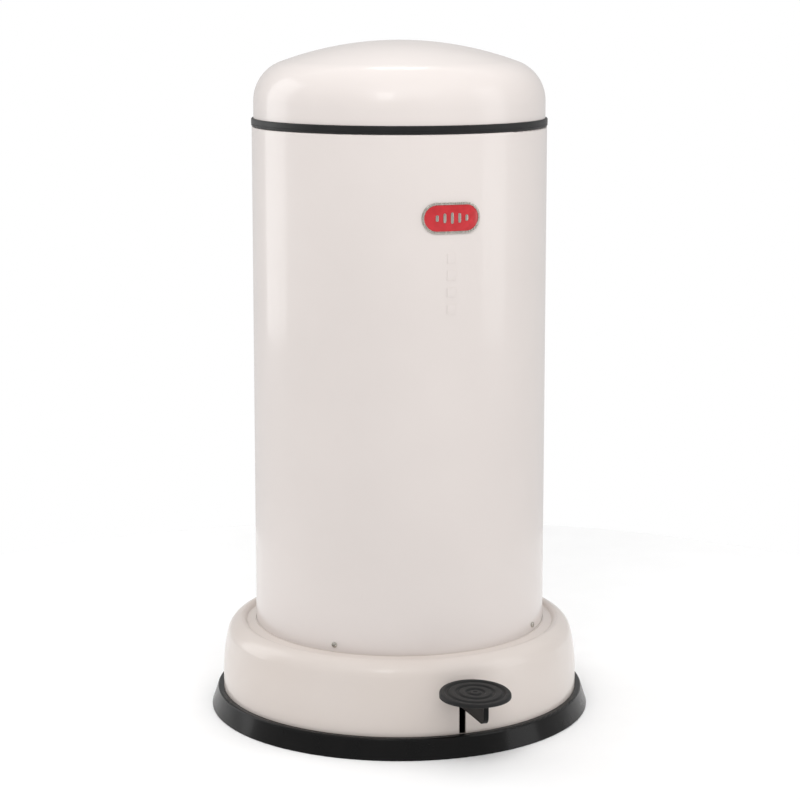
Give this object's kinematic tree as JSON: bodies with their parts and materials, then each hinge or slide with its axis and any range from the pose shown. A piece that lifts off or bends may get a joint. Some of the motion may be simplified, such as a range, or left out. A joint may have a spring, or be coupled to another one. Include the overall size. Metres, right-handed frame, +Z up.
{
  "type": "pedal bin",
  "caption": "Tall round pedal bin: steel tube on a flared base with a pedal lever, lift rod, rear-hinged domed lid and a loose inner bucket with a bail.",
  "frame": {"origin": "centre of the floor ring's underside, on the floor under the tube's axis", "axes": "+Z up along the tube's axis, -Y towards the pedal, +X to the right of someone who stands at the pedal and faces the bin"},
  "size_m": [0.3938, 0.4501, 0.6911],
  "materials": {
    "painted_steel": "glossy powder coat",
    "painted_cover": "glossy lacquer",
    "black_rubber": "matte",
    "black_plastic": "fine grain",
    "bright_steel": "plated",
    "black_steel": "stoved black enamel",
    "galvanised_steel": "zinc coated",
    "badge_red": "enamelled",
    "pale_plastic": "moulded",
    "grip_plastic": "moulded"
  },
  "bodies": {
    "base": {"base_ring": "black_plastic", "base_plate": "galvanised_steel", "base_screws": "bright_steel", "base_cover": "painted_cover", "bucket_pan": "galvanised_steel", "body_tube": "painted_steel", "tube_screws": "bright_steel", "badge_frame": "bright_steel", "badge_inlay": "badge_red", "pivot_bracket": "galvanised_steel", "bracket_screws": "bright_steel", "pivot_shaft": "bright_steel", "shaft_clips": "bright_steel", "rest_buffer": "black_rubber", "press_buffer": "black_rubber", "lower_guide": "pale_plastic", "upper_guide": "galvanised_steel", "guide_rivets": "bright_steel", "hinge_bracket": "painted_steel", "bracket_rivets": "bright_steel", "hinge_pin": "bright_steel"},
    "pedal": {"pedal_arm": "black_steel", "pedal_hub": "black_steel", "pad_plate": "black_steel", "pedal_pad": "black_rubber", "pad_screws": "bright_steel"},
    "rod": {"lift_rod": "bright_steel", "rod_foot": "galvanised_steel", "foot_pin": "bright_steel", "rod_yoke": "galvanised_steel"},
    "lid": {"lid_shell": "painted_steel", "edge_seal": "black_rubber", "lid_hinge": "painted_steel", "lid_rivets": "bright_steel", "crank_pin": "bright_steel"},
    "bucket": {"inner_bucket": "galvanised_steel", "bail_ears": "galvanised_steel"},
    "bail": {"bail_hoop": "bright_steel", "bail_grip": "grip_plastic"}
  },
  "joints": [
    {"name": "lid_open", "type": "hinge", "parent": "base", "child": "lid", "pos_m": [0, 0.158, 0.613], "axis": [-1, 0, 0], "range_deg": [0, 80]},
    {"name": "rod_lift", "type": "slide", "parent": "base", "child": "rod", "axis": [0, 0, 1], "range_m": [0, 0.03475]},
    {"name": "pedal_press", "type": "hinge", "parent": "base", "child": "pedal", "pos_m": [0, -0.06, 0.04], "axis": [1, 0, 0], "range_deg": [0, 10.2]},
    {"name": "bucket_lift", "type": "slide", "parent": "base", "child": "bucket", "axis": [0, 0, 1], "range_m": [0, 0.04]},
    {"name": "bail_swing", "type": "hinge", "parent": "bucket", "child": "bail", "pos_m": [0, 0, 0.5], "axis": [-1, 0, 0], "range_deg": [0, 100]}
  ],
  "couplings": [
    {"joint": "rod_lift", "follows": "lid_open", "m_per_rad": 0.02486},
    {"joint": "pedal_press", "follows": "lid_open", "ratio": 0.1275}
  ]
}
